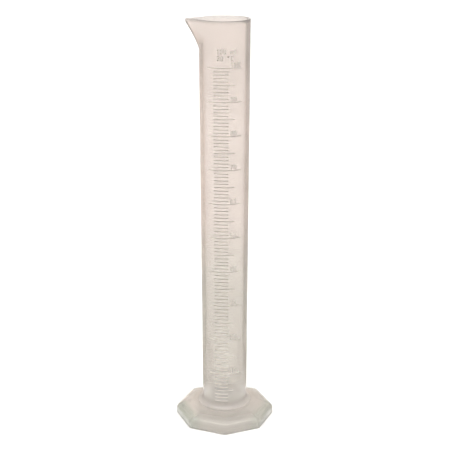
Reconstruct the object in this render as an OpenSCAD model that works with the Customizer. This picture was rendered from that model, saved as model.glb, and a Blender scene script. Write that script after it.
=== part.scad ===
// Tall measuring cylinder for 100 ml, moulded in translucent polypropylene: a tapered tube with a
// pouring spout, standing in an octagonal foot, with a raised scale on the front of the tube.
// The origin is the centre of the foot on the table and +Z is up. The spout points along -X and
// the scale faces -Y. Lengths are in millimetres and volumes in millilitres.

/* [Measuring tube] */
// Height of the rim above the table
rim_h = 248; // [244:1:254]
// Outside diameter of the tube at the rim
rim_d = 29.9; // [29.4:0.1:31]
// Outside diameter that the tube's taper would have at the table
base_d = 27.1; // [26.6:0.1:28]
// Wall thickness of the tube
wall = 1.95; // [1.8:0.05:2.1]
// Height of the tube's inside floor above the table
floor_h = 9.6; // [9.2:0.1:10.4]
// Radius of the round between the floor and the bore
floor_round = 3; // [1:0.5:5]
// Depth of the thinned band inside the rim
lip_h = 1.8; // [1:0.1:3]
// Width of the flat top of the rim
lip_w = 1.1; // [0.8:0.1:1.6]

/* [Spout] */
// Distance from the rim's outside to the spout's tip
spout_reach = 7.4; // [5:0.2:9]
// Distance that the spout runs down the tube
spout_depth = 17.2; // [14:0.2:22]
// Outside radius of the spout's tip, seen from above
spout_tip_r = 2.4; // [2.2:0.1:3]
// Wall thickness of the spout at the rim
spout_wall = 1.6; // [1.2:0.1:1.8]
// How fast the spout narrows downwards: 1 is a straight edge, more is a hollow one
spout_curve = 1.25; // [1:0.05:1.6]

/* [Scale] */
// Distance that the scale stands out from the tube
relief = 0.25; // [0.15:0.05:0.4]
// Thickness of a graduation line
line_t = 0.5; // [0.3:0.05:0.6]
// Angle round the tube from the front to the lines' common end on the spout's side
scale_start = 27; // [20:1:35]
// Angle from the front to the far end of a 1 ml line
one_ml_end = 10; // [5:1:15]
// Angle from the front to the far end of a 5 ml line
five_ml_end = 24; // [18:1:30]
// Angle from the front to each end of a 10 ml line
ten_ml_end = 39.5; // [35:0.5:50]
// Height of a numeral
numeral_h = 3; // [2.4:0.1:3.2]
// Angle from the front to the left edge of the numerals
numeral_start = 13; // [11:1:16]

/* [Foot] */
// Width of the octagonal foot across its corners, before they are rounded
foot_d = 61; // [57:0.2:65]
// Height of the foot's upright skirt
skirt_h = 3.8; // [3.2:0.1:4.4]
// Thickness of the foot's shell
shell = 2; // [1.6:0.1:2.2]
// Radius of the round on each corner of the octagon
corner_r = 2.5; // [1.5:0.5:5]
// Radius of the hollow round between the tube and the foot
collar_round = 2.8; // [2:0.1:3.6]

/* [Hidden] */

FRONT = -90; // direction of -Y, which the scale faces
CAPACITY = 100; // ml at the top line
LOWEST = 2; // ml at the bottom line, just above the foot's collar
MM3_PER_ML = 1000;
SMOOTH = 96; // steps in a full turn
ROUND_STEPS = 6; // steps in a quarter round
CLEAR = 1; // how far a cut runs past the face that it opens

// Tube
taper = (rim_d - base_d) / 2 / rim_h;
floor_t = 2.6; // thickness of the tube's floor
tube_foot_h = floor_h - floor_t;
function tube_r(z) = base_d / 2 + taper * z;
function bore_r(z) = tube_r(z) - wall;

// Height of the liquid in the tube for a volume. The tapered bore is part of a cone, and the round
// at its floor takes up a little of it.
floor_r = bore_r(floor_h);
round_area = (1 - PI / 4) * pow(floor_round, 2);
round_volume = 2 * PI * (floor_r - 0.22 * floor_round) * round_area;
function level_r(ml) =
    pow(pow(floor_r, 3) + 3 * taper * (ml * MM3_PER_ML + round_volume) / PI, 1 / 3);
function level(ml) = floor_h + (level_r(ml) - floor_r) / taper;

// Spout. Its sides run from the tip to a core circle hidden in the wall, or in the bore for the
// channel, so that they meet the tube without a step.
SPOUT_SINK = 0.15; // how far the spout's lower end lies under the tube's surface
OUTSIDE_CORE = 0.6; // depth of the core circle under the tube's surface
CHANNEL_CORE = 0.6; // depth of the channel's core circle inside the bore
SPOUT_SLICES = 12;
TIP_STEPS = 8;
function spout_run(z) = min(max((rim_h - lip_h - z) / (spout_depth - lip_h), 0), 1);
function spout_out(z) =
    (spout_reach + SPOUT_SINK) * pow(1 - spout_run(z), spout_curve) - SPOUT_SINK;
function spout_inset(z) = spout_wall + (wall + SPOUT_SINK - spout_wall) * spout_run(z);

// Foot
OCTAGON = 8;
CORNER_STEPS = 2; // steps in half of a rounded corner
SHOULDER_STEPS = 4;
foot_r = foot_d / 2;
deck_h = 9.9; // height of the deck where it meets the collar
knee_h = 9.4; // height of the slight knee half way up the deck
knee_r = 0.68 * foot_r;
shoulder_h = 3.4; // height of the rounded bevel between the skirt and the deck
shoulder_w = 3.6; // width of the same bevel
BEVEL_POWER = 1.3; // how flat the bevel is: 1 is a round, 2 is a flat chamfer
web_t = 1.8; // thickness of the web under the tube
web_h = tube_foot_h - web_t;
collar_lip = 0.2; // thickness of the collar's top edge
collar_h = deck_h + collar_round;
collar_r = tube_r(deck_h) + collar_lip + collar_round;

// Lettering. A glyph is drawn in a cell that is one unit wide and GLYPH_H units high, in strokes
// that are STROKE units thick.
GLYPH_H = 1.9;
STROKE = 0.27;
PITCH = 1.3; // distance from one glyph to the next
label_h = 2.9;
label_gap = 0.8; // height between the label's two rows
label_rise = 4.2; // height of the label's lower row above the top line

natural = [0.88, 0.85, 0.81];
natural_foot = [0.83, 0.80, 0.76];
natural_relief = [0.78, 0.75, 0.71];

// A solid through outlines of equal length, from the lowest to the highest. Each is a list of points
// in space, anticlockwise from above.
module loft(outlines) {
    count = len(outlines[0]);
    last = len(outlines) - 1;
    points = [for (outline = outlines) each outline];
    sides = [
        for (i = [0:last - 1], j = [0:count - 1])
            let (a = i * count + j, b = i * count + (j + 1) % count)
            each [[a, b + count, b], [a, a + count, b + count]]
    ];
    bottom = [for (j = [0:count - 1]) j];
    top = [for (j = [count - 1:-1:0]) last * count + j];
    polyhedron(points, concat(sides, [bottom], [top]));
}

// The spout's outline at height z: the round tip, then a straight side back to each side of the core
function spout_outline(z, inset, core_depth) =
    let (
        tip_r = spout_tip_r - inset,
        tip_x = tube_r(z) + spout_out(z) - spout_tip_r,
        core_r = tube_r(z) - core_depth,
        spread = acos((core_r - tip_r) / tip_x)
    )
    concat(
        [[-core_r * cos(spread), core_r * sin(spread), z]],
        [for (i = [TIP_STEPS:-1:-TIP_STEPS]) let (a = spread * i / TIP_STEPS)
            [-tip_x - tip_r * cos(a), tip_r * sin(a), z]],
        [[-core_r * cos(spread), -core_r * sin(spread), z]]
    );

// Heights of the spout's outlines from its lower end up, the last one raised by top
function spout_heights(top) = [
    for (i = [SPOUT_SLICES:-1:0]) rim_h - spout_depth * i / SPOUT_SLICES + (i == 0 ? top : 0)
];

module spout_outside() {
    loft([for (z = spout_heights(0)) spout_outline(z, 0, OUTSIDE_CORE)]);
}

module spout_channel() {
    loft([for (z = spout_heights(CLEAR)) spout_outline(z, spout_inset(z), wall + CHANNEL_CORE)]);
}

// The space inside the tube, up past the rim
module bore() {
    floor_corner = [
        for (i = [0:ROUND_STEPS]) let (a = -90 + 90 * i / ROUND_STEPS)
            [floor_r - floor_round + floor_round * cos(a), floor_h + floor_round * (1 + sin(a))]
    ];
    lip_base = rim_h - lip_h;
    lip_r = rim_d / 2 - lip_w;
    mouth = [
        [bore_r(lip_base), lip_base],
        [lip_r, rim_h],
        [lip_r, rim_h + CLEAR],
        [0, rim_h + CLEAR]
    ];
    rotate_extrude($fn = SMOOTH) polygon(concat([[0, floor_h]], floor_corner, mouth));
}

// The closed tube with its spout
module measuring_tube() {
    color(natural) difference() {
        union() {
            rotate_extrude($fn = SMOOTH)
                polygon([
                    [0, tube_foot_h], [tube_r(tube_foot_h), tube_foot_h],
                    [tube_r(rim_h), rim_h], [0, rim_h]
                ]);
            spout_outside();
        }
        bore();
        spout_channel();
    }
}

// An octagon at height z whose corners reach radius r before they are rounded
function octagon(r, round_r, z) = [
    for (i = [0:OCTAGON - 1], j = [-CORNER_STEPS:CORNER_STEPS])
        let (
            corner = 360 / OCTAGON * i,
            a = corner + 180 / OCTAGON * j / CORNER_STEPS,
            centre = r - round_r / cos(180 / OCTAGON)
        )
        [centre * cos(corner) + round_r * cos(a), centre * sin(corner) + round_r * sin(a), z]
];

// The foot's outside, or the hollow under it, where it is drawn in by inset
module foot_form(inset) {
    r = foot_r - inset;
    round_r = max(corner_r - inset, 1);
    shoulder = [
        for (i = [0:SHOULDER_STEPS]) let (a = 90 * i / SHOULDER_STEPS)
            octagon(
                r - shoulder_w * (1 - pow(cos(a), BEVEL_POWER)), round_r,
                skirt_h - inset / 2 + shoulder_h * pow(sin(a), BEVEL_POWER)
            )
    ];
    loft(concat(
        [octagon(r, round_r, inset > 0 ? -CLEAR : 0)],
        shoulder,
        [octagon(knee_r, 1, knee_h - inset), octagon(tube_r(0), 1, deck_h - inset)]
    ));
}

// The hollow foot, with a collar and a web that hold the tube
module octagonal_foot() {
    collar = [
        for (i = [0:ROUND_STEPS]) let (a = 180 + 90 * i / ROUND_STEPS)
            [collar_r + collar_round * cos(a), collar_h + collar_round * sin(a)]
    ];
    color(natural_foot) difference() {
        union() {
            difference() {
                foot_form(0);
                foot_form(shell);
            }
            rotate_extrude($fn = SMOOTH)
                polygon(concat([[0, web_h], [0, collar_h]], collar, [[collar_r, web_h]]));
        }
        rotate_extrude($fn = SMOOTH)
            polygon([
                [0, tube_foot_h], [tube_r(tube_foot_h), tube_foot_h],
                [tube_r(collar_h + CLEAR), collar_h + CLEAR], [0, collar_h + CLEAR]
            ]);
    }
}

// A band of the relief on the front of the tube, from height z0 to z1 and between two angles that
// are counted from the front
module relief_band(z0, z1, from, to) {
    rotate(FRONT + from) rotate_extrude(angle = to - from, $fn = 2 * SMOOTH)
        polygon([
            [tube_r(z0), z0], [tube_r(z0) + relief, z0],
            [tube_r(z1) + relief, z1], [tube_r(z1), z1]
        ]);
}

// A graduation line at the level of a volume
module line(ml, from, to) {
    relief_band(level(ml) - line_t / 2, level(ml) + line_t / 2, from, to);
}

module one_ml_lines() {
    color(natural_relief)
        for (ml = [LOWEST:CAPACITY])
            if (ml % 5 != 0) line(ml, -scale_start, one_ml_end);
}

module five_ml_lines() {
    color(natural_relief)
        for (ml = [5:10:CAPACITY]) line(ml, -scale_start, five_ml_end);
}

module ten_ml_lines() {
    color(natural_relief)
        for (ml = [10:10:CAPACITY]) line(ml, -ten_ml_end, ten_ml_end);
}

// A straight stroke between two points, with square ends
module bar(a, b) {
    d = b - a;
    translate(a) rotate(atan2(d[1], d[0])) translate([0, -STROKE / 2]) square([norm(d), STROKE]);
}

// A round stroke of outside radius r, between two angles
module arc(centre, r, from, to) {
    translate(centre) intersection() {
        difference() {
            circle(r, $fn = 32);
            circle(r - STROKE, $fn = 32);
        }
        polygon(concat([[0, 0]], [for (i = [0:4]) let (a = from + (to - from) * i / 4)
            2 * r * [cos(a), sin(a)]]));
    }
}

// A full ring of outside radius r
module hoop(centre, r) {
    translate(centre) difference() {
        circle(r, $fn = 32);
        circle(r - STROKE, $fn = 32);
    }
}

// The upright oval of a 0, or without its right side, of a C
module tall_hoop(side) {
    half = STROKE / 2;
    arc([0.5, GLYPH_H - 0.5], 0.5, 0, 180);
    arc([0.5, 0.5], 0.5, 180, 360);
    bar([half, 0.5], [half, GLYPH_H - 0.5]);
    if (side) bar([1 - half, 0.5], [1 - half, GLYPH_H - 0.5]);
}

// One glyph, with its lower left corner at the origin
module glyph(c) {
    half = STROKE / 2;
    low = 0.5; // height of the middle of a lower loop
    high = GLYPH_H - 0.5; // height of the middle of an upper loop
    if (c == "0") tall_hoop(true);
    if (c == "1") {
        bar([0.6, 0], [0.6, GLYPH_H]);
        bar([0.2, GLYPH_H - 0.5], [0.6, GLYPH_H - 0.1]);
    }
    if (c == "2") {
        arc([0.5, high], 0.5, -30, 180);
        bar([0.1, half], [0.85, high - 0.1]);
        bar([0, half], [1, half]);
    }
    if (c == "3") {
        arc([0.5, high], 0.5, -90, 150);
        arc([0.5, low + 0.03], 0.53, -150, 90);
    }
    if (c == "4") {
        bar([0.7, 0], [0.7, GLYPH_H]);
        bar([0.1, 0.55], [0.7, GLYPH_H - 0.1]);
        bar([0, 0.55], [1, 0.55]);
    }
    if (c == "5") {
        bar([0.1, GLYPH_H - half], [0.95, GLYPH_H - half]);
        bar([0.2, 0.9], [0.2, GLYPH_H]);
        arc([0.45, 0.55], 0.55, -150, 120);
    }
    if (c == "6") {
        hoop([0.5, low], 0.5);
        bar([half, low], [half, high]);
        arc([0.5, high], 0.5, 30, 180);
    }
    if (c == "7") {
        bar([0, GLYPH_H - half], [1, GLYPH_H - half]);
        bar([0.35, 0], [0.9, GLYPH_H - half]);
    }
    if (c == "8") {
        hoop([0.5, high - 0.03], 0.47);
        hoop([0.5, low + 0.03], 0.53);
    }
    if (c == "9") {
        hoop([0.5, high], 0.5);
        bar([1 - half, low], [1 - half, high]);
        arc([0.5, low], 0.5, 210, 360);
    }
    if (c == "m") {
        bar([half, 0], [half, 1.1]);
        arc([0.42, 0.75], 0.42, 0, 180);
        bar([0.7, 0], [0.7, 0.75]);
        arc([0.99, 0.75], 0.42, 0, 180);
        bar([1.275, 0], [1.275, 0.75]);
    }
    if (c == "l") bar([0.6, 0], [0.6, GLYPH_H]);
    if (c == "o") hoop([0.3, GLYPH_H - 0.4], 0.4);
    if (c == "C") tall_hoop(false);
}

// A row of glyphs in relief, with its lower left corner at height z and at an angle from the front
module row(glyphs, height, z, start) {
    size = height / GLYPH_H;
    centre_z = z + height / 2;
    for (i = [0:len(glyphs) - 1]) {
        turn = start + (i * PITCH + 0.5) * size / tube_r(centre_z) * 180 / PI;
        if (glyphs[i] != " ") intersection() {
            relief_band(z - CLEAR, z + height + CLEAR, turn - 20, turn + 20);
            rotate(FRONT + turn) translate([tube_r(z) - 2, 0, z]) rotate([90, 0, 90])
                linear_extrude(5) scale(size) translate([-0.5, 0]) glyph(glyphs[i]);
        }
    }
}

module scale_numerals() {
    color(natural_relief)
        for (ml = [10:10:CAPACITY])
            row(str(ml), numeral_h, level(ml) + line_t, numeral_start);
}

// The capacity and the temperature that the scale holds at
module capacity_label() {
    lower = level(CAPACITY) + label_rise;
    color(natural_relief) {
        row("100 ml", label_h, lower + label_h + label_gap, -18);
        row("20 oC", label_h, lower, -17);
    }
}

measuring_tube();
octagonal_foot();
one_ml_lines();
five_ml_lines();
ten_ml_lines();
scale_numerals();
capacity_label();
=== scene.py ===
"""Looks of a 100 ml graduated cylinder in milky polypropylene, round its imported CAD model."""

import math

import bpy
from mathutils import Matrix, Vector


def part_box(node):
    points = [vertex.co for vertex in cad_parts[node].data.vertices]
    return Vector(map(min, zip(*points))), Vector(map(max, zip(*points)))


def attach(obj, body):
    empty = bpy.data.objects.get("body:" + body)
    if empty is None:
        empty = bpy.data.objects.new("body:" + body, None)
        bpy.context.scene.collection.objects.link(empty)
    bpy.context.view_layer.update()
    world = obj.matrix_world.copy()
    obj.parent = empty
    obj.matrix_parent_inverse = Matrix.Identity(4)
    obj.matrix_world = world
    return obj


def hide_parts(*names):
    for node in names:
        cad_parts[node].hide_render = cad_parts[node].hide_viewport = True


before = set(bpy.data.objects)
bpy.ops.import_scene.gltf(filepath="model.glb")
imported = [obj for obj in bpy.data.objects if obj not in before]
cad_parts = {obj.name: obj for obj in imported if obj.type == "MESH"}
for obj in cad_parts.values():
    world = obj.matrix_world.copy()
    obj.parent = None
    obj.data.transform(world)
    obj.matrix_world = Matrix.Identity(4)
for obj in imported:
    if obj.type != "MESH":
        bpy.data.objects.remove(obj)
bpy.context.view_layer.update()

MM = 0.001

# ---------------------------------------------------------------- dimensions, in millimetres
# The outer sizes come from the imported CAD parts, and most of the rest repeat the design's own
# values.
# The corners and ridges of the foot are rounder here, and the collar and the web belong to the
# tube.
tube_low, tube_high = (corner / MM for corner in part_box("measuring_tube"))
foot_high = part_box("octagonal_foot")[1] / MM

RIM_H = tube_high.z
RIM_R = tube_high.y
TUBE_FOOT_H = tube_low.z
BASE_R = 13.55
TAPER = (RIM_R - BASE_R) / RIM_H
WALL = 1.95
FLOOR_T = 2.6
FLOOR_H = TUBE_FOOT_H + FLOOR_T
FLOOR_ROUND = 3.0
LIP_H = 1.8
LIP_W = 1.1
RIM_EDGE = 0.35  # radius of the rim's edges

SPOUT_REACH = -tube_low.x - RIM_R
SPOUT_DEPTH = 17.2
SPOUT_TIP_R = 2.4
SPOUT_WALL = 1.6
SPOUT_CURVE = 1.25

FOOT_R = foot_high.x
SKIRT_H = 3.8
SKIRT_EDGE = 0.5  # radius of the skirt's lower edges
SHELL = 2.0
SHOULDER_W = 3.6
SHOULDER_H = 3.4
BEVEL_POWER = 1.3
CORNER_R = 4.0
RIDGE_R = 0.8
KNEE_R = 0.68 * FOOT_R
KNEE_H = 9.4
DECK_H = 9.9
DECK_BOW = 0.25  # how far the deck bulges between the bevel and the knee
COLLAR_ROUND = 2.8
WEB_T = 1.8
WEB_H = TUBE_FOOT_H - WEB_T
SEAM = 0.02  # gap between the foot and the collar

RELIEF = 0.25
SINK = 0.02  # how deep the raised lines are set into the tube's skin
LINE_T = 0.5
CAPACITY = 100
LOWEST = 2
SCALE_START = 27.0
LINE_ENDS = {"one_ml_lines": 10.0, "five_ml_lines": 24.0, "ten_ml_lines": 41.5}


def tube_r(z):
    """Outside radius of the tube at height z, without the spout."""
    return BASE_R + TAPER * z


COLLAR_R = tube_r(DECK_H) + COLLAR_ROUND


# ---------------------------------------------------------------- meshes
def mesh_object(name, verts, faces):
    mesh = bpy.data.meshes.new(name)
    mesh.from_pydata([tuple(c * MM for c in v) for v in verts], [], faces)
    mesh.validate()
    mesh.polygons.foreach_set("use_smooth", [True] * len(mesh.polygons))
    mesh.set_sharp_from_angle(angle=math.radians(35))
    obj = bpy.data.objects.new(name, mesh)
    bpy.context.scene.collection.objects.link(obj)
    return obj


def band(a, b, count):
    """Faces between two rings whose first points are numbered a and b."""
    return [(a + j, a + (j + 1) % count, b + (j + 1) % count, b + j) for j in range(count)]


def torus(name, rings):
    """A closed skin through rings of equal length, the last of which meets the first again."""
    count = len(rings[0])
    verts = [p for ring in rings for p in ring]
    faces = []
    for i in range(len(rings)):
        faces += band(i * count, (i + 1) % len(rings) * count, count)
    return mesh_object(name, verts, faces)


def revolve(name, start, rings, end):
    """A closed skin through rings of equal length, with a pole at each end."""
    count = len(rings[0])
    verts = [start] + [p for ring in rings for p in ring] + [end]
    last = len(verts) - 1
    faces = [(0, 1 + (j + 1) % count, 1 + j) for j in range(count)]
    for i in range(len(rings) - 1):
        faces += band(1 + i * count, 1 + (i + 1) * count, count)
    top = 1 + (len(rings) - 1) * count
    faces += [(last, top + j, top + (j + 1) % count) for j in range(count)]
    return mesh_object(name, verts, faces)


def spaced(start, stop, step):
    """Evenly spaced values from start to stop, about one step apart."""
    count = max(1, round(abs(stop - start) / step))
    return [start + (stop - start) * i / count for i in range(count + 1)]


# ---------------------------------------------------------------- the tube with its spout
def spout_run(z):
    return min(max((RIM_H - LIP_H - z) / (SPOUT_DEPTH - LIP_H), 0.0), 1.0)


def teardrop(angle, core_r, tip_x, tip_r):
    """Distance from the axis to a round tip at tip_x and its straight sides, on a core circle."""
    if tip_x + tip_r <= core_r:
        return core_r
    spread = math.acos(min((core_r - tip_r) / tip_x, 1.0))
    a = abs(angle)
    if a >= spread:
        return core_r
    tip_edge = math.atan2(tip_r * math.sin(spread), tip_x + tip_r * math.cos(spread))
    if a >= tip_edge:
        return core_r / math.cos(spread - a)
    return tip_x * math.cos(a) + math.sqrt(max(tip_r**2 - (tip_x * math.sin(a)) ** 2, 0.0))


def outer_r(angle, z):
    reach = SPOUT_REACH * (1 - spout_run(z)) ** SPOUT_CURVE
    return teardrop(angle, tube_r(z), tube_r(z) + reach - SPOUT_TIP_R, SPOUT_TIP_R)


def inner_r(angle, z):
    run = spout_run(z)
    reach = SPOUT_REACH * (1 - run) ** SPOUT_CURVE
    inset = SPOUT_WALL + (WALL - SPOUT_WALL) * run
    lip = (WALL - LIP_W) * max(z - RIM_H + LIP_H, 0.0) / LIP_H
    tip_x = tube_r(z) + reach - SPOUT_TIP_R
    return teardrop(angle, tube_r(z) - WALL, tip_x, SPOUT_TIP_R - inset) + lip


TUBE_STEPS = 288
SPOUT_CROWDING = 0.6  # share by which the steps round the tube crowd towards the spout


def tube_angles():
    turn = [math.tau * j / TUBE_STEPS for j in range(TUBE_STEPS)]
    return [t - SPOUT_CROWDING * math.sin(t) for t in turn]


def tube_ring(radius, z):
    """A ring at height z. Angles are counted from the spout, which points along -X."""
    ring = []
    for a in tube_angles():
        signed = math.remainder(a, math.tau)
        r = radius(signed)
        ring.append((-r * math.cos(a), -r * math.sin(a), z))
    return ring


def round_steps(steps):
    """(sine, cosine) pairs over a quarter turn."""
    return [
        (math.sin(math.pi / 2 * i / steps), math.cos(math.pi / 2 * i / steps))
        for i in range(steps + 1)
    ]


def round_ring(r, z):
    return tube_ring(lambda a: r, z)


def make_tube():
    """The tube with its spout, and the web and the collar in which it ends below."""
    spout_foot = RIM_H - SPOUT_DEPTH - 1
    rings = [round_ring(r, WEB_H) for r in spaced(1.5, COLLAR_R - 0.3, 1.5)]
    rings += [round_ring(COLLAR_R, z) for z in spaced(WEB_H + 0.3, DECK_H, 1)]
    for s, c in round_steps(12)[1:]:
        r = COLLAR_R - COLLAR_ROUND * s
        rings.append(round_ring(r, DECK_H + COLLAR_ROUND * (1 - c)))
    outside = spaced(DECK_H + COLLAR_ROUND + 1, spout_foot, 4)
    outside += spaced(spout_foot, RIM_H - RIM_EDGE, 0.45)[1:]
    rings += [tube_ring(lambda a, z=z: outer_r(a, z), z) for z in outside]
    for s, c in round_steps(4)[1:]:
        z = RIM_H - RIM_EDGE * (1 - s)
        rings.append(tube_ring(lambda a, z=z, c=c: outer_r(a, z) - RIM_EDGE * (1 - c), z))
    for s, c in round_steps(4):
        z = RIM_H - RIM_EDGE * (1 - c)
        rings.append(tube_ring(lambda a, z=z, s=s: inner_r(a, z) + RIM_EDGE * (1 - s), z))
    inside = spaced(RIM_H - LIP_H, spout_foot, 0.45)
    inside += spaced(spout_foot, FLOOR_H + FLOOR_ROUND + 1, 4)[1:]
    rings += [tube_ring(lambda a, z=z: inner_r(a, z), z) for z in inside]
    floor_r = tube_r(FLOOR_H) - WALL
    for s, c in round_steps(8):
        z = FLOOR_H + FLOOR_ROUND * (1 - s)
        rings.append(tube_ring(lambda a, c=c: floor_r - FLOOR_ROUND * (1 - c), z))
    tube = revolve("tube", (0, 0, WEB_H), rings, (0, 0, FLOOR_H))
    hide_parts("measuring_tube")
    return tube


# ---------------------------------------------------------------- the octagonal foot
FOOT_STEPS = 480
CORNER = math.tau / 8


def octagon_r(angle, corner_r, round_r):
    """Distance from the axis to an octagon whose rounded corners reach corner_r."""
    half = CORNER / 2
    a = abs(math.remainder(angle, CORNER))
    sharp_r = corner_r + round_r * (1 / math.cos(half) - 1)
    centre = sharp_r - round_r / math.cos(half)
    edge = math.atan2(round_r * math.sin(half), centre + round_r * math.cos(half))
    if a >= edge:
        return sharp_r * math.cos(half) / math.cos(half - a)
    return centre * math.cos(a) + math.sqrt(max(round_r**2 - (centre * math.sin(a)) ** 2, 0.0))


def foot_ring(corner_r, z, round_r, roundness=0.0):
    """A ring that goes from an octagon to a circle as roundness goes from 0 to 1."""
    ring = []
    for j in range(FOOT_STEPS):
        a = math.tau * j / FOOT_STEPS
        r = octagon_r(a, corner_r, round_r) * (1 - roundness) + corner_r * roundness
        ring.append((r * math.cos(a), r * math.sin(a), z))
    return ring


def foot_skin(inset, steps):
    """Rings from the skirt's foot up over the bevel and the deck, drawn in by inset."""
    r = FOOT_R - inset
    skirt_h = SKIRT_H - inset / 2
    round_r = CORNER_R - inset / 2
    rings = [foot_ring(r, z, round_r) for z in spaced(SKIRT_EDGE, skirt_h, 0.8)[:-1]]
    for i in range(steps + 1):
        a = math.pi / 2 * i / steps
        across = SHOULDER_W * (1 - abs(math.cos(a)) ** BEVEL_POWER)
        up = SHOULDER_H * math.sin(a) ** BEVEL_POWER
        ridge_r = round_r + (RIDGE_R - round_r) * i / steps
        rings.append(foot_ring(r - across, skirt_h + up, ridge_r))
    edge_r = r - SHOULDER_W
    edge_h = skirt_h + SHOULDER_H
    knee_h = KNEE_H - inset
    for t in spaced(0, 1, 0.125)[1:]:
        bow = DECK_BOW * math.sin(math.pi * t)
        z = edge_h + (knee_h - edge_h) * t + bow
        rings.append(foot_ring(edge_r + (KNEE_R - edge_r) * t, z, RIDGE_R))
    for t in spaced(0, 1, 0.125)[1:]:
        z = knee_h + (DECK_H - KNEE_H) * t
        rings.append(foot_ring(KNEE_R + (COLLAR_R + SEAM - KNEE_R) * t, z, RIDGE_R + 2 * t, t))
    return rings


def make_foot():
    """The octagonal shell round the tube's collar, open below."""
    rings = list(reversed(foot_skin(SHELL, 8)))
    for s, c in round_steps(3)[:-1]:
        r = FOOT_R - SHELL + SKIRT_EDGE * s
        rings.append(foot_ring(r, SKIRT_EDGE * c, CORNER_R - SHELL / 2))
    for s, c in round_steps(4)[:-1]:
        r = FOOT_R - SKIRT_EDGE * (1 - s)
        rings.append(foot_ring(r, SKIRT_EDGE * (1 - c), CORNER_R))
    rings += foot_skin(0, 12)
    foot = torus("foot", rings)
    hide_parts("octagonal_foot")
    return foot


# ---------------------------------------------------------------- the raised scale
FLOOR_CORNER = 0.22  # middle of the floor's filled corner, as a share of its radius
LINE_POINTS = 8
LINE_FULLNESS = 0.7  # below 1, a line's section is fuller than half an ellipse
LINE_END = 0.15  # size of a line's end sections, as a share of the rest


def level(ml):
    """Height of the liquid for a volume: the tapered bore is part of a cone."""
    floor_r = tube_r(FLOOR_H) - WALL
    round_area = (1 - math.pi / 4) * FLOOR_ROUND**2
    round_volume = math.tau * (floor_r - FLOOR_CORNER * FLOOR_ROUND) * round_area
    cubed = floor_r**3 + 3 * TAPER * (ml * 1000 + round_volume) / math.pi
    return FLOOR_H + (cubed ** (1 / 3) - floor_r) / TAPER


def add_ridge(verts, faces, z, start, stop):
    """One raised line at height z, half round in section, between two angles from the front."""
    steps = max(6, round((stop - start) / 2))  # about one for every two degrees
    width = LINE_POINTS + 1
    first = len(verts)
    for i in range(steps + 1):
        t = i / steps
        a = math.radians(-90 + start + (stop - start) * t)
        swell = 1.0 if 0 < i < steps else LINE_END
        for j in range(width):
            b = math.pi * j / LINE_POINTS
            up = -LINE_T / 2 * math.cos(b) * swell
            on_skin = j in (0, LINE_POINTS)
            rise = 0.0 if on_skin else RELIEF * math.sin(b) ** LINE_FULLNESS * swell
            r = tube_r(z + up) + (rise - SINK)
            verts.append((r * math.cos(a), r * math.sin(a), z + up))
    for i in range(steps):
        a, b = first + i * width, first + (i + 1) * width
        faces += [(a + j, b + j, b + (j + 1) % width, a + (j + 1) % width) for j in range(width)]
    faces.append(tuple(first + j for j in range(width)))
    faces.append(tuple(first + steps * width + j for j in reversed(range(width))))


def make_lines():
    kinds = {
        "one_ml_lines": [ml for ml in range(LOWEST, CAPACITY) if ml % 5],
        "five_ml_lines": range(5, CAPACITY, 10),
        "ten_ml_lines": range(10, CAPACITY + 1, 10),
    }
    pieces = []
    for node, volumes in kinds.items():
        verts, faces = [], []
        end = LINE_ENDS[node]
        start = -end if node == "ten_ml_lines" else -SCALE_START
        for ml in volumes:
            add_ridge(verts, faces, level(ml), start, end)
        piece = mesh_object("raised_" + node, verts, faces)
        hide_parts(node)
        pieces.append(piece)
    return pieces


# ---------------------------------------------------------------- materials
# Colours at places in millimetres along an axis, which is height for the tube and the scale and
# depth for the foot. Each table is the plastic's own colour with painted light and shade on it.
# Painted light and shade on the tube by height: lighter just above the collar, darker low down,
# lighter and warmer higher up, and darker at the rim's top edge.
PALE = (1.0, 0.975, 0.93)
DUSK = (0.86, 0.83, 0.785)
COOL = (0.90, 0.87, 0.825)
WARM = (0.97, 0.91, 0.875)
UPPER = (0.92, 0.86, 0.825)
TUBE_PAINTED_LIGHT_COLOURS = (
    (12, (0.88, 0.83, 0.785)),
    (15, PALE),
    (19, PALE),
    (27, DUSK),
    (60, DUSK),
    (95, COOL),
    (130, WARM),
    (185, WARM),
    (225, UPPER),
    (245.5, UPPER),
    (247.4, (0.74, 0.71, 0.69)),
)
# Painted shade on the foot by depth: darker and greyer at the front, lighter and warmer towards
# the back.
FOOT_PAINTED_SHADE_COLOURS = ((-20, (0.84, 0.81, 0.765)), (-4, (1.0, 0.94, 0.89)))
# The raised lines are darker than the tube; how much darker changes with height, most at mid
# height and least low down, and that change is painted shade.
LINE_PAINTED_SHADE_COLOURS = (
    (42, DUSK),
    (80, (0.46, 0.43, 0.40)),
    (140, (0.46, 0.43, 0.40)),
    (215, (0.62, 0.57, 0.53)),
)
# The raised figures are darker higher up; that change with height is painted shade.
FIGURE_PAINTED_SHADE_COLOURS = ((40, (0.86, 0.83, 0.78)), (100, (0.72, 0.68, 0.64)))

# Painted shade on the front left and front right sides of the foot: a darker green-grey.
SIDE_SLOPE = -0.41  # near the tangent of the angle by which those sides turn away, 22.5 degrees
SIDE_LOW, SIDE_HIGH = 23.5, 26.5
SIDE_PAINTED_SHADE_COLOUR = (0.76, 0.775, 0.715)

# Between these heights the clearness goes from the thick bottom's to the wall's.
THICK_H, THIN_H = 10, 30
ROUGHNESS_SPREAD = 0.04
CLOUD_SHADE = 0.95  # the clouds' colour, as a share of the first colour
CLOUD_SHARE = 0.4  # how much of that colour the densest clouds have
REFRACTION = 1.49


def add_node(nt, kind, **inputs):
    """A shader node with its inputs set, or linked where a socket is given."""
    node = nt.nodes.new("ShaderNode" + kind)
    for key, value in inputs.items():
        socket = node.inputs[key.replace("_", " ")]
        if isinstance(value, bpy.types.NodeSocket):
            nt.links.new(value, socket)
        else:
            socket.default_value = value
    return node


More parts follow.
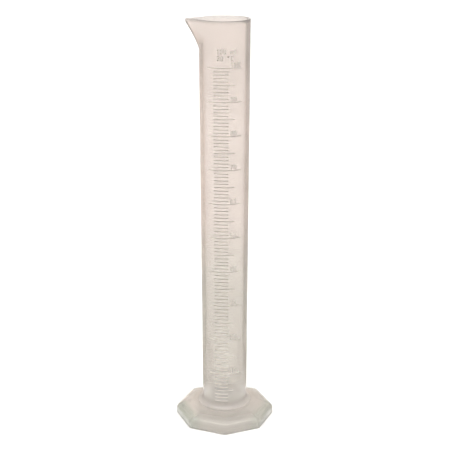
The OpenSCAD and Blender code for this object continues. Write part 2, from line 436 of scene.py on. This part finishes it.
def remap(nt, value, low, high, to_low, to_high):
    """Value from low..high mapped onto to_low..to_high, and held at the ends."""
    limits = {"From_Min": low, "From_Max": high, "To_Min": to_low, "To_Max": to_high}
    return add_node(nt, "MapRange", Value=value, **limits).outputs["Result"]


def blend(nt, share, first, second):
    """One colour going into another as share goes from 0 to 1."""
    node = nt.nodes.new("ShaderNodeMix")
    node.data_type = "RGBA"
    nt.links.new(share, node.inputs["Factor"])
    for key, colour in (("A", first), ("B", second)):
        socket = next(i for i in node.inputs if i.name == key and i.type == "RGBA")
        if isinstance(colour, bpy.types.NodeSocket):
            nt.links.new(colour, socket)
        else:
            socket.default_value = (*colour, 1)
    return next(o for o in node.outputs if o.type == "RGBA")


def along(nt, axis, stops):
    """A colour that goes through (place in mm, colour) stops along one axis."""
    spot = add_node(nt, "SeparateXYZ", Vector=add_node(nt, "TexCoord").outputs["Object"])
    colour = stops[0][1]
    for (low, _), (high, above) in zip(stops, stops[1:]):
        share = remap(nt, spot.outputs[axis], low * MM, high * MM, 0, 1)
        colour = blend(nt, share, colour, above)
    return colour


def side_shade_mask(nt):
    """How far out a place lies towards the front left or the front right, from 0 to 1, as the mask
    of the painted side shade.
    """
    spot = add_node(nt, "SeparateXYZ", Vector=add_node(nt, "TexCoord").outputs["Object"])
    out = add_node(nt, "Math")
    out.operation = "ABSOLUTE"
    nt.links.new(spot.outputs["X"], out.inputs[0])
    reach = add_node(nt, "Math")
    reach.operation = "MULTIPLY_ADD"
    nt.links.new(spot.outputs["Y"], reach.inputs[0])
    reach.inputs[1].default_value = SIDE_SLOPE
    nt.links.new(out.outputs[0], reach.inputs[2])
    return remap(nt, reach.outputs[0], SIDE_LOW * MM, SIDE_HIGH * MM, 0, 1)


def polypropylene(name, axis, stops, clear, thick_clear, roughness, sides=False):
    """Milky plastic: faint clouds and flow streaks in it, and a fine grain on its skin. Its colour
    along the axis carries painted light and shade.
    """
    mat = bpy.data.materials.new(name)
    mat.use_nodes = True
    nt = mat.node_tree
    shader = nt.nodes["Principled BSDF"]
    place = add_node(nt, "TexCoord").outputs["Object"]
    drawn = add_node(nt, "Mapping", Vector=place, Scale=(1, 1, 0.08)).outputs["Vector"]
    cloud = add_node(nt, "TexNoise", Vector=place, Scale=55, Detail=3).outputs[0]
    streak = add_node(nt, "TexNoise", Vector=drawn, Scale=260, Detail=2).outputs[0]
    grain = add_node(nt, "TexNoise", Vector=place, Scale=1800, Detail=2).outputs[0]

    denser = [c * CLOUD_SHADE for c in stops[0][1]]
    # Painted light and shade: the colour changes along the axis as the stops give.
    tint_and_painted_light = along(nt, axis, stops)
    # Painted shade: the foot's front left and front right sides darken to green-grey.
    if sides:
        tint_and_painted_light = blend(nt, side_shade_mask(nt), tint_and_painted_light, SIDE_PAINTED_SHADE_COLOUR)
    shade = blend(nt, remap(nt, cloud, 0.35, 0.65, 0, CLOUD_SHARE), tint_and_painted_light, denser)
    nt.links.new(shade, shader.inputs["Base Color"])
    height = add_node(nt, "SeparateXYZ", Vector=place).outputs["Z"]
    smooth, coarse = roughness - ROUGHNESS_SPREAD, roughness + ROUGHNESS_SPREAD
    rough = remap(nt, streak, 0.3, 0.7, smooth, coarse)
    nt.links.new(rough, shader.inputs["Roughness"])
    grained = add_node(nt, "Bump", Height=grain, Strength=0.1, Distance=0.00005)
    flowed = add_node(nt, "Bump", Height=streak, Strength=0.15, Distance=0.0001)
    nt.links.new(grained.outputs["Normal"], flowed.inputs["Normal"])
    nt.links.new(flowed.outputs["Normal"], shader.inputs["Normal"])
    shader.inputs["IOR"].default_value = REFRACTION
    clearness = remap(nt, height, THICK_H * MM, THIN_H * MM, thick_clear, clear)
    nt.links.new(clearness, shader.inputs["Transmission Weight"])
    return mat


# ---------------------------------------------------------------- stage, lights and camera
FLOOR_REACH = 8.0
CARD_FADE = 0.5  # share of a card's width over which it fades in from its inner edge

FRONT_LIGHT = 0.4
BACK_LIGHT = 1.03
TOP_LIGHT = 8.0
TOP_LEAN = math.radians(15)
# Half widths of the overhead patch, across and along, in a direction of length 1. The third is so
# large that height doesn't count.
TOP_SPAN = (0.55, 0.22, 1000)

CAMERA_PLACE = (0.0002, -0.6083, 0.3184)
CAMERA_DROP = math.radians(17.64)
LENS = 84.83
SENSOR = 36

# Colours of the cards by height. The right ones are darker.
LEFT_COLOURS = (
    (5, (0.62, 0.59, 0.52)),
    (55, (0.46, 0.44, 0.38)),
    (120, (0.78, 0.63, 0.54)),
    (190, (0.74, 0.62, 0.54)),
    (215, (0.5, 0.43, 0.38)),
)
RIGHT_COLOURS = (
    (5, (0.55, 0.53, 0.46)),
    (55, (0.3, 0.29, 0.25)),
    (120, (0.45, 0.37, 0.31)),
    (190, (0.42, 0.36, 0.31)),
    (215, (0.2, 0.18, 0.16)),
)
LOW_LEFT_COLOURS = ((8, (0.84, 0.81, 0.74)), (40, (0.78, 0.75, 0.68)))
LOW_RIGHT_COLOURS = ((8, (0.80, 0.78, 0.71)), (40, (0.72, 0.70, 0.63)))


def plain_material(name, colour, speckle):
    mat = bpy.data.materials.new(name)
    mat.use_nodes = True
    nt = mat.node_tree
    shader = nt.nodes["Principled BSDF"]
    place = add_node(nt, "TexCoord").outputs["Object"]
    noise = add_node(nt, "TexNoise", Vector=place, Scale=40, Detail=4).outputs[0]
    shade = blend(nt, noise, [c * (1 - speckle) for c in colour], colour)
    nt.links.new(shade, shader.inputs["Base Color"])
    shader.inputs["Roughness"].default_value = 0.85
    return mat


def make_stage():
    mesh = bpy.data.meshes.new("floor")
    s = FLOOR_REACH
    mesh.from_pydata([(-s, -s, 0), (s, -s, 0), (s, s, 0), (-s, s, 0)], [], [(0, 1, 2, 3)])
    mesh.materials.append(plain_material("pale_floor", (0.95, 0.95, 0.95), 0.02))
    floor = bpy.data.objects.new("floor", mesh)
    bpy.context.scene.collection.objects.link(floor)


def add_card(name, start, end, slant, bottom, top, stops):
    """An upright studio card, seen only through the plastic and in reflections.

    It goes from start to end in plan and fades in from start, where its top leans by slant. Its
    places are in metres and its colours' heights in millimetres.
    """
    (x0, y0), (x1, y1) = start, end
    mesh = bpy.data.meshes.new(name)
    corners = [(x0, y0, bottom), (x1, y1, bottom), (x1, y1, top), (x0 + slant, y0, top)]
    mesh.from_pydata(corners, [], [(0, 1, 2, 3)])
    mat = bpy.data.materials.new(name)
    mat.use_nodes = True
    nt = mat.node_tree
    shader = nt.nodes["Principled BSDF"]
    nt.links.new(along(nt, "Z", stops), shader.inputs["Base Color"])
    across = add_node(nt, "SeparateXYZ", Vector=add_node(nt, "TexCoord").outputs["Object"])
    density = remap(nt, across.outputs["X"], x0, x0 + (x1 - x0) * CARD_FADE, 0, 1)
    nt.links.new(density, shader.inputs["Alpha"])
    shader.inputs["Roughness"].default_value = 0.9
    mesh.materials.append(mat)
    card = bpy.data.objects.new(name, mesh)
    bpy.context.scene.collection.objects.link(card)
    card.visible_camera = False
    card.visible_diffuse = False
    card.visible_shadow = False


def make_world():
    """Soft light all round: a bright patch overhead, bright behind the set and dimmer in front."""
    world = bpy.data.worlds.new("studio")
    world.use_nodes = True
    nt = world.node_tree
    around = add_node(nt, "TexCoord").outputs["Generated"]
    towards = add_node(nt, "SeparateXYZ", Vector=around)
    tent = remap(nt, towards.outputs["Y"], -0.8, 0.8, FRONT_LIGHT, BACK_LIGHT)
    turned = add_node(nt, "Mapping", Vector=around, Rotation=(TOP_LEAN, 0, 0), Scale=TOP_SPAN)
    turned.vector_type = "TEXTURE"
    away = add_node(nt, "VectorMath")
    away.operation = "LENGTH"
    nt.links.new(turned.outputs["Vector"], away.inputs[0])
    overhead = remap(nt, away.outputs["Value"], 0.8, 1.0, TOP_LIGHT, 0)
    total = add_node(nt, "Math")
    nt.links.new(tent, total.inputs[0])
    nt.links.new(overhead, total.inputs[1])
    behind = remap(nt, towards.outputs["Y"], -0.5, 0.5, 0, 1)
    colour = blend(nt, behind, (1.0, 0.985, 0.965), (1.0, 0.97, 0.94))
    background = nt.nodes["Background"]
    nt.links.new(colour, background.inputs["Color"])
    nt.links.new(total.outputs[0], background.inputs["Strength"])
    bpy.context.scene.world = world


def make_camera():
    data = bpy.data.cameras.new("camera")
    data.sensor_width = SENSOR
    data.lens = LENS
    camera = bpy.data.objects.new("camera", data)
    camera.location = CAMERA_PLACE
    camera.rotation_euler = (math.radians(90) - CAMERA_DROP, 0, 0)
    bpy.context.scene.collection.objects.link(camera)
    bpy.context.scene.camera = camera


# ---------------------------------------------------------------- the scene
make_camera()
tube = make_tube()
foot = make_foot()
lines = make_lines()
# The tube, foot, line and figure looks carry the painted light and shade set in their colour
# tables.
plastic = polypropylene(
    "milky_polypropylene_painted_light", "Z", TUBE_PAINTED_LIGHT_COLOURS, clear=0.77, thick_clear=0.55, roughness=0.15
)
foot_plastic_painted_shade = polypropylene(
    "foot_polypropylene",
    "Y",
    FOOT_PAINTED_SHADE_COLOURS,
    clear=0.75,
    thick_clear=0.72,
    roughness=0.15,
    sides=True,
)
ridged_painted_shade = polypropylene(
    "raised_line_polypropylene_painted_shade", "Z", LINE_PAINTED_SHADE_COLOURS, clear=0.25, thick_clear=0.25, roughness=0.5
)
figured_painted_shade = polypropylene(
    "raised_figure_polypropylene_painted_shade", "Z", FIGURE_PAINTED_SHADE_COLOURS, clear=0.4, thick_clear=0.4, roughness=0.5
)
for piece, look in ((tube, plastic), (foot, foot_plastic_painted_shade), *((line, ridged_painted_shade) for line in lines)):
    piece.data.materials.append(look)
    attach(piece, "root")
for node in ("scale_numerals", "capacity_label"):
    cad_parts[node].data.materials.clear()
    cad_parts[node].data.materials.append(figured_painted_shade)
make_stage()
make_world()
add_card("left_card", (-0.02, 0.1), (-0.12, 0.02), -0.02, 0, 0.3, LEFT_COLOURS)
add_card("right_card", (0.02, 0.1), (0.12, 0.02), 0.02, 0, 0.3, RIGHT_COLOURS)
add_card("low_left_card", (-0.008, 0.034), (-0.034, 0.008), 0, 0.008, 0.04, LOW_LEFT_COLOURS)
add_card("low_right_card", (0.008, 0.034), (0.034, 0.008), 0, 0.008, 0.04, LOW_RIGHT_COLOURS)
bpy.context.scene.view_settings.view_transform = "Standard"
